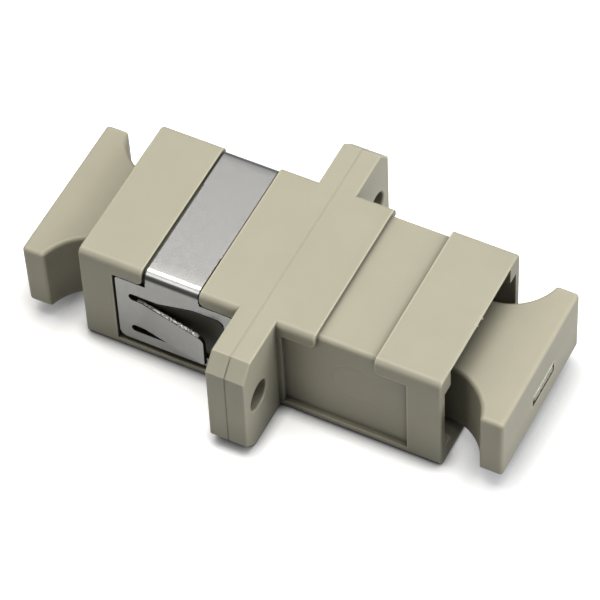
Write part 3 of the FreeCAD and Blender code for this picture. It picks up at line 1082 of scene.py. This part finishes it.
@dataclass
class DustPlug:
    """One dust plug and the stub of its gate in the sunk rectangle."""

    end: End
    face_x: float = 18.23
    pocket_depth: float = 0.3
    pocket_y: float = 0.35
    pocket_z: float = -0.65
    pocket_length: float = 3.5
    pocket_height: float = 1.0
    stub_crack: float = 0.18
    stub_corner: int = 5
    lip: float = 0.045
    lip_proud: float = 0.04
    sag_degrees: float = 0.0
    slack: float = 0.0
    hold_x: float = 3.875

    def build(self, plastic: bpy.types.Material,
              painted_glint: bpy.types.Material) -> None:
        """Dresses the plug and adds the stub of its gate.

        Args:
            plastic: Finish of the plug.
            painted_glint: Finish of the lip, pale as a painted highlight.
        """
        side = self.end.name.lower()
        dress(f"dust_plug_{side}", plastic)
        piece(f"gate_stub_{side}", self.placed(self.gate_stub()), False,
              f"plug_{side}", plastic)
        piece(f"gate_lip_{side}", self.placed(self.gate_lip()), False,
              f"plug_{side}", painted_glint)

    def gate_stub(self) -> np.ndarray:
        """Broken end of the gate, which all but fills its pocket.

        A squarish profile, |u|^5 + |v|^5 = 1, carried along the pocket.  Its
        height wanders, falls away at the near end and leaves a crack under
        the pocket's upper edge.

        Returns:
            The grid of points.
        """
        steps, around = 200, 24
        t = np.linspace(0.0, 1.0, steps)
        y = self.pocket_y + (t - 0.5) * self.pocket_length * 0.98
        ends = tapered(t, 30.0, 30.0, power=0.4)
        level = 0.86 + 0.09 * ripple(t, 61, 1, 9)
        level *= 0.3 + 0.7 * np.clip(t * 9.0 - 0.5, 0.0, 1.0)
        crack = self.stub_crack * (1.0 + 0.4 * ripple(t, 67, 2, 12))
        wide = 0.5 * (self.pocket_height - crack) * ends
        high = self.pocket_depth * level * ends
        centres = np.stack([
            np.full(steps, self.face_x - self.pocket_depth), y,
            self.pocket_z - 0.5 * crack], 1)
        turn = np.linspace(0.0, 1.0, around, endpoint=False)
        a = 2.0 * math.pi * turn
        power = self.stub_corner
        square = (np.abs(np.cos(a)) ** power
                  + np.abs(np.sin(a)) ** power) ** (-1.0 / power)
        rough = square * (1.0 + 0.05 * ripple(
            (t[:, None] * 3.0 + turn[None, :]) % 1.0, 63, 2, 9))
        return carried(centres, all_along((0.0, 0.0, 1.0), steps),
                       all_along((1.0, 0.0, 0.0), steps),
                       wide[:, None] * square, high[:, None] * rough)

    def gate_lip(self) -> np.ndarray:
        """Proud burr along the pocket's upper edge.

        A round profile carried along the edge, swelling and shrinking with
        an irregular curve and fading out at both ends.

        Returns:
            The grid of points.
        """
        steps = 200
        t = np.linspace(0.0, 1.0, steps)
        y = self.pocket_y + (t - 0.5) * self.pocket_length
        z = (self.pocket_z + 0.5 * self.pocket_height + self.lip_proud
             + 0.02 * ripple(t, 69, 1, 8))
        fade = tapered(t, 14.0, 14.0, 0.05)
        size = all_round(
            self.lip * (0.85 + 0.4 * ripple(t, 65, 2, 14)) * fade, 10)
        return carried(np.stack([np.full(steps, self.face_x), y, z], 1),
                       all_along((0.0, 0.0, 1.0), steps),
                       all_along((1.0, 0.0, 0.0), steps), size, size)

    def placed(self, grid: np.ndarray) -> np.ndarray:
        """Moves a grid from the +X plug, fully home, to this plug's place.

        It slides out by the slack, tips about the Y axis through the middle
        of its hold on the barrel, and the left one turns half round Z.

        Args:
            grid: Points in millimetres.

        Returns:
            The moved points.
        """
        a = math.radians(self.sag_degrees)
        x = grid[..., 0] + self.slack - self.hold_x
        z = grid[..., 2]
        turn = float(self.end.value)
        return np.stack([
            turn * (x * math.cos(a) + z * math.sin(a) + self.hold_x),
            turn * grid[..., 1], z * math.cos(a) - x * math.sin(a)], -1)


# ------------------------------------------------------------------- studio --
@dataclass(frozen=True)
class Softbox:
    """One flat studio light, which may show in reflections alone."""

    name: str
    place: tuple[float, float, float]
    aim: tuple[float, float, float]
    wide: float
    deep: float
    radiance: float
    colour: tuple[float, float, float] = (1.0, 1.0, 1.0)
    mirrored_only: bool = False

    def build(self) -> None:
        """Sets the light up; its power follows from its radiance and area."""
        lamp = bpy.data.lights.new(self.name, "AREA")
        lamp.shape = "RECTANGLE"
        lamp.size, lamp.size_y = self.wide, self.deep
        lamp.energy = self.radiance * math.pi * self.wide * self.deep
        lamp.color = self.colour
        holder = bpy.data.objects.new(self.name, lamp)
        holder.location = self.place
        facing = Vector(self.aim) - Vector(self.place)
        holder.rotation_mode = "QUATERNION"
        holder.rotation_quaternion = facing.to_track_quat("-Z", "Y")
        holder.visible_diffuse = not self.mirrored_only
        bpy.context.scene.collection.objects.link(holder)


@dataclass
class Studio:
    """Floor, lights and camera."""

    floor_z: float = -4.55 * MM
    floor_half: float = 0.9
    table_half: float = 0.038
    table_y: float = -0.002
    table_drop: float = 0.02 * MM
    sheet_lines: int = 9
    azimuth: float = 28.950
    elevation: float = 51.634
    lean: float = -2.957
    distance: float = 258.58 * MM
    target: tuple[float, float, float] = (-0.904 * MM, 1.564 * MM, -3.120 * MM)
    lens: float = 221.87
    near: float = 0.01
    far: float = 10.0
    room: tuple[float, float, float, float] = (0.95, 0.97, 1.0, 1.0)
    ambient: float = 0.2
    white: StudioPaper = StudioPaper("white_paper", 0.95, glow=0.42,
                                     contact=1.3)
    grey: StudioPaper = StudioPaper("grey_table", 0.56, (0.97, 0.985, 1.0))
    boxes: tuple[Softbox, ...] = (
        Softbox("key", (-0.04, 0.05, 0.45), (-0.04, 0.05, 0), 0.42, 0.30, 4.9,
                (1.02, 1.0, 0.95)),
        Softbox("back", (0.0, 0.66, 0.50), (0, 0.66, 0), 1.2, 0.8, 0.39),
        Softbox("wall", (-0.25, 0.85, 0.12), (0, 0, 0), 0.9, 0.24, 0.1),
        Softbox("card", (-0.20, -0.80, 0.08), (0, 0, 0), 1.2, 0.25, 0.08),
        Softbox("side", (0.46, 0.12, 0.24), (0, 0, 0), 0.35, 0.35, 4.8,
                (0.97, 1.0, 1.05)),
        Softbox("left", (-0.55, 0.15, 0.30), (0, 0, 0), 0.3, 0.3, 1.2),
        Softbox("strip", (-0.14, -0.42, 0.23), (0, 0, 0), 0.14, 0.30, 3.0),
        Softbox("front", (0.10, -0.80, 0.50), (0, 0, 0), 1.3, 0.5, 0.5,
                mirrored_only=True),
    )

    def build(self) -> None:
        """Builds the whole studio."""
        self.floors()
        for box in self.boxes:
            box.build()
        self.surroundings()
        self.camera()
        bpy.context.scene.view_settings.view_transform = "Standard"
        log.info("studio: %d lights", len(self.boxes))

    def floors(self) -> None:
        """A white sheet that shows, on a grey one that lights from below."""
        shown = self.sheet("floor", 0.0, self.floor_half, 0.0, self.white)
        shown.visible_diffuse = False
        shown.visible_glossy = False
        shown.visible_shadow = False
        under = self.sheet("table", self.table_drop, self.table_half,
                           self.table_y, self.grey)
        under.visible_camera = False

    def sheet(self, name: str, drop: float, half: float, middle_y: float,
              paper: StudioPaper) -> bpy.types.Object:
        """Makes one level sheet, gridded, that isn't part of the adapter.

        z(x, y) = the height of the adapter's underside, less the drop.

        Args:
            name: Name of the sheet.
            drop: How far it lies under the adapter.
            half: Half its width and depth.
            middle_y: Where its middle is along Y.
            paper: Its finish.

        Returns:
            The sheet.
        """
        line = np.linspace(-half, half, self.sheet_lines)
        x, y = np.meshgrid(line, line + middle_y)
        points = np.stack([x, y, np.full_like(x, self.floor_z - drop)], -1)
        index = np.arange(x.size).reshape(x.shape)
        quads = np.stack([index[:-1, :-1], index[:-1, 1:],
                          index[1:, 1:], index[1:, :-1]], -1).reshape(-1, 4)
        mesh = bpy.data.meshes.new(name)
        mesh.from_pydata(points.reshape(-1, 3).tolist(), [], quads.tolist())
        mesh.materials.append(paper.material())
        made = bpy.data.objects.new(name, mesh)
        bpy.context.scene.collection.objects.link(made)
        return made

    def surroundings(self) -> None:
        """Dim grey room that shows only as a reflection."""
        world = bpy.data.worlds.new("room")
        world.use_nodes = True
        air = world.node_tree.nodes["Background"]
        air.inputs["Color"].default_value = self.room
        air.inputs["Strength"].default_value = self.ambient
        world.cycles_visibility.diffuse = False
        bpy.context.scene.world = world

    def camera(self) -> None:
        """Long lens, aimed at the target and leaning a little."""
        a, e = math.radians(self.azimuth), math.radians(self.elevation)
        back = Vector((math.sin(a) * math.cos(e), -math.cos(a) * math.cos(e),
                       math.sin(e)))
        level = (-back).cross(Vector((0.0, 0.0, 1.0))).normalized()
        over = level.cross(-back)
        lean = math.radians(self.lean)
        right = level * math.cos(lean) + over * math.sin(lean)
        up = over * math.cos(lean) - level * math.sin(lean)
        lens = bpy.data.cameras.new("camera")
        lens.lens = self.lens
        lens.clip_start, lens.clip_end = self.near, self.far
        eye = bpy.data.objects.new("camera", lens)
        spot = Vector(self.target) + back * self.distance
        eye.matrix_world = Matrix.Translation(spot) @ Matrix(
            (right, up, back)).transposed().to_4x4()
        bpy.context.scene.collection.objects.link(eye)
        bpy.context.scene.camera = eye


def main() -> None:
    """Builds the adapter's pieces in order, then the studio round it."""
    logging.basicConfig(level=logging.INFO, format="%(message)s")
    shells = Shells()
    # The second colour of each moulding is its painted edge highlight.
    beige = MouldedPlastic("beige_moulding", (0.425, 0.40, 0.303),
                           (0.60, 0.56, 0.405))
    # The left shell's finish adds painted shade on the recess floors under the
    # clip.
    covered = replace(beige, name="covered_moulding",
                      covered_y_mm=shells.recess_floor)
    melted = MouldedPlastic("weld_moulding", (0.40, 0.376, 0.283),
                            (0.42, 0.395, 0.297), edge_radius_mm=0.05)
    inner = MouldedPlastic("inner_moulding", (0.43, 0.408, 0.316),
                           (0.52, 0.49, 0.38), grain_mm=0.2)
    soft = MouldedPlastic("plug_moulding", (0.43, 0.402, 0.303),
                          (0.63, 0.585, 0.42), edge_radius_mm=0.06,
                          edge_band_mm=0.26, translucency=0.08,
                          depth_shade=1.0).material()
    # Painted highlight: the gate's lip is near white, as the glint along the
    # pocket's upper edge.
    painted_glint = MouldedPlastic("painted_glint_moulding", (0.74, 0.74, 0.66),
                              (0.80, 0.80, 0.74), edge_radius_mm=0.02,
                              depth_shade=0.0).material()
    # Painted reflection: the rolled rims are near black, for the shaded window
    # they reflect.
    painted_dark_steel = SpringSteel("painted_dark_strip", (0.10, 0.10, 0.105), 0.3)
    shells.build(beige.material(), covered.material(), melted.material())
    Core().build(inner.material(), GroundCeramic("zirconia").material())
    PanelClip().build(SpringSteel("spring_strip").material(),
                      TornSteel("torn_metal").material(),
                      painted_dark_steel.material())
    DustPlug(End.RIGHT).build(soft, painted_glint)
    DustPlug(End.LEFT, sag_degrees=1.1, slack=0.06).build(soft, painted_glint)
    Studio().build()


if __name__ == "__main__":
    main()
